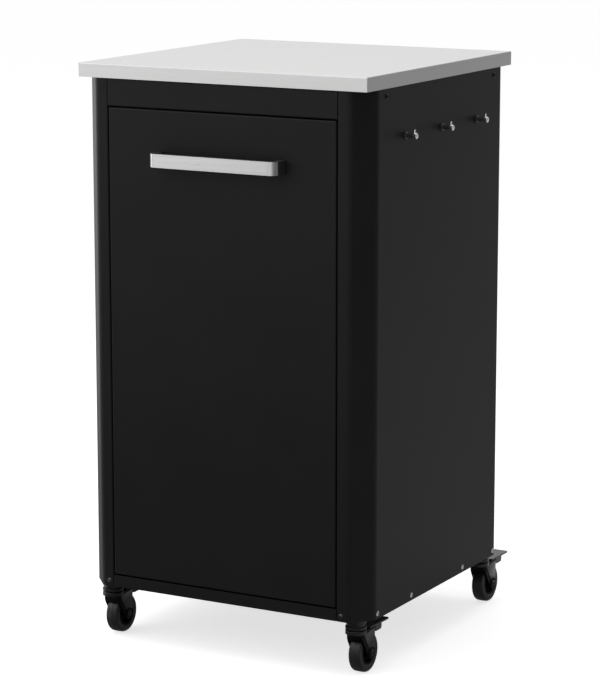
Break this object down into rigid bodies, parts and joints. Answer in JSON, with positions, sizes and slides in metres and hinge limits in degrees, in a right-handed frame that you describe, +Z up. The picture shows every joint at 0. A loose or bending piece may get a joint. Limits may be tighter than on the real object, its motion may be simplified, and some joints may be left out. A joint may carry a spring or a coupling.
{
  "type": "outdoor kitchen unit",
  "caption": "Free-standing outdoor kitchen module: black steel cabinet on braked swivel casters, stainless worktop, tall pull-out front with bow handle, side pegs.",
  "frame": {"origin": "on the floor, under the middle of the whole unit's bounds", "axes": "+Z up, -Y out of the pull-out front, +X to the right as seen from the front"},
  "size_m": [0.5182, 0.573, 0.915],
  "materials": {
    "worktop_stainless": "fine brushed stainless",
    "handle_stainless": "brushed stainless",
    "cabinet_black": "fine textured black powder coat",
    "chrome_tip": "polished",
    "zinc_steel": "bright zinc plate",
    "handle_moulding": "satin moulded",
    "caster_moulding": "satin moulded",
    "caster_tyre": "matt",
    "bumper_rubber": "matt"
  },
  "bodies": {
    "cabinet": {"worktop": "worktop_stainless", "worktop_stiffener_left": "zinc_steel", "worktop_stiffener_right": "zinc_steel", "side_panel_left": "cabinet_black", "side_panel_right": "cabinet_black", "base_pan": "cabinet_black", "back_panel": "cabinet_black", "top_rail_front": "cabinet_black", "top_rail_rear": "cabinet_black", "runner_bracket_left": "zinc_steel", "runner_bracket_right": "zinc_steel", "slide_outer_left": "zinc_steel", "slide_outer_right": "zinc_steel", "bumper_left": "bumper_rubber", "bumper_right": "bumper_rubber", "peg_stem_front": "cabinet_black", "peg_tip_front": "chrome_tip", "peg_stem_middle": "cabinet_black", "peg_tip_middle": "chrome_tip", "peg_stem_rear": "cabinet_black", "peg_tip_rear": "chrome_tip", "caster_head_front_left": "caster_moulding", "caster_nut_front_left": "zinc_steel", "caster_head_rear_left": "caster_moulding", "caster_nut_rear_left": "zinc_steel", "caster_head_front_right": "caster_moulding", "caster_nut_front_right": "zinc_steel", "caster_head_rear_right": "caster_moulding", "caster_nut_rear_right": "zinc_steel"},
    "drawer": {"drawer_front": "cabinet_black", "drawer_front_liner": "cabinet_black", "handle_body": "handle_moulding", "handle_cover": "handle_stainless", "bottle_tray": "cabinet_black", "tray_gusset_left": "cabinet_black", "tray_gusset_right": "cabinet_black", "slide_inner_left": "zinc_steel", "slide_inner_right": "zinc_steel"},
    "runner_middle_left": {"slide_middle_left": "zinc_steel"},
    "runner_middle_right": {"slide_middle_right": "zinc_steel"},
    "caster_front_left": {"caster_fork_front_left": "caster_moulding", "caster_axle_front_left": "caster_moulding"},
    "wheel_front_left": {"caster_hub_front_left": "caster_moulding", "caster_tyre_front_left": "caster_tyre"},
    "brake_front_left": {"caster_pedal_front_left": "caster_moulding"},
    "caster_rear_left": {"caster_fork_rear_left": "caster_moulding", "caster_axle_rear_left": "caster_moulding"},
    "wheel_rear_left": {"caster_hub_rear_left": "caster_moulding", "caster_tyre_rear_left": "caster_tyre"},
    "brake_rear_left": {"caster_pedal_rear_left": "caster_moulding"},
    "caster_front_right": {"caster_fork_front_right": "caster_moulding", "caster_axle_front_right": "caster_moulding"},
    "wheel_front_right": {"caster_hub_front_right": "caster_moulding", "caster_tyre_front_right": "caster_tyre"},
    "brake_front_right": {"caster_pedal_front_right": "caster_moulding"},
    "caster_rear_right": {"caster_fork_rear_right": "caster_moulding", "caster_axle_rear_right": "caster_moulding"},
    "wheel_rear_right": {"caster_hub_rear_right": "caster_moulding", "caster_tyre_rear_right": "caster_tyre"},
    "brake_rear_right": {"caster_pedal_rear_right": "caster_moulding"}
  },
  "joints": [
    {"name": "drawer_slide", "type": "slide", "parent": "cabinet", "child": "drawer", "axis": [0, -1, 0], "range_m": [0, 0.42]},
    {"name": "runner_left_slide", "type": "slide", "parent": "cabinet", "child": "runner_middle_left", "axis": [0, -1, 0], "range_m": [0, 0.21]},
    {"name": "runner_right_slide", "type": "slide", "parent": "cabinet", "child": "runner_middle_right", "axis": [0, -1, 0], "range_m": [0, 0.21]},
    {"name": "swivel_front_left", "type": "hinge", "parent": "cabinet", "child": "caster_front_left", "pos_m": [-0.22775, -0.229, 0.075], "axis": [0, 0, 1], "continuous": true},
    {"name": "wheel_spin_front_left", "type": "hinge", "parent": "caster_front_left", "child": "wheel_front_left", "pos_m": [-0.22775, -0.2055, 0.0315], "axis": [1, 0, 0], "continuous": true},
    {"name": "brake_tip_front_left", "type": "hinge", "parent": "caster_front_left", "child": "brake_front_left", "pos_m": [-0.22775, -0.199, 0.0683], "axis": [-1, 0, 0], "range_deg": [0, 7]},
    {"name": "swivel_rear_left", "type": "hinge", "parent": "cabinet", "child": "caster_rear_left", "pos_m": [-0.22775, 0.209, 0.075], "axis": [0, 0, 1], "continuous": true},
    {"name": "wheel_spin_rear_left", "type": "hinge", "parent": "caster_rear_left", "child": "wheel_rear_left", "pos_m": [-0.22775, 0.2325, 0.0315], "axis": [1, 0, 0], "continuous": true},
    {"name": "brake_tip_rear_left", "type": "hinge", "parent": "caster_rear_left", "child": "brake_rear_left", "pos_m": [-0.22775, 0.239, 0.0683], "axis": [-1, 0, 0], "range_deg": [0, 7]},
    {"name": "swivel_front_right", "type": "hinge", "parent": "cabinet", "child": "caster_front_right", "pos_m": [0.20965, -0.229, 0.075], "axis": [0, 0, 1], "continuous": true},
    {"name": "wheel_spin_front_right", "type": "hinge", "parent": "caster_front_right", "child": "wheel_front_right", "pos_m": [0.20965, -0.2055, 0.0315], "axis": [1, 0, 0], "continuous": true},
    {"name": "brake_tip_front_right", "type": "hinge", "parent": "caster_front_right", "child": "brake_front_right", "pos_m": [0.20965, -0.199, 0.0683], "axis": [-1, 0, 0], "range_deg": [0, 7]},
    {"name": "swivel_rear_right", "type": "hinge", "parent": "cabinet", "child": "caster_rear_right", "pos_m": [0.20965, 0.209, 0.075], "axis": [0, 0, 1], "continuous": true},
    {"name": "wheel_spin_rear_right", "type": "hinge", "parent": "caster_rear_right", "child": "wheel_rear_right", "pos_m": [0.20965, 0.2325, 0.0315], "axis": [1, 0, 0], "continuous": true},
    {"name": "brake_tip_rear_right", "type": "hinge", "parent": "caster_rear_right", "child": "brake_rear_right", "pos_m": [0.20965, 0.239, 0.0683], "axis": [-1, 0, 0], "range_deg": [0, 7]}
  ],
  "couplings": [
    {"joint": "runner_left_slide", "follows": "drawer_slide", "ratio": 0.5},
    {"joint": "runner_right_slide", "follows": "drawer_slide", "ratio": 0.5}
  ]
}
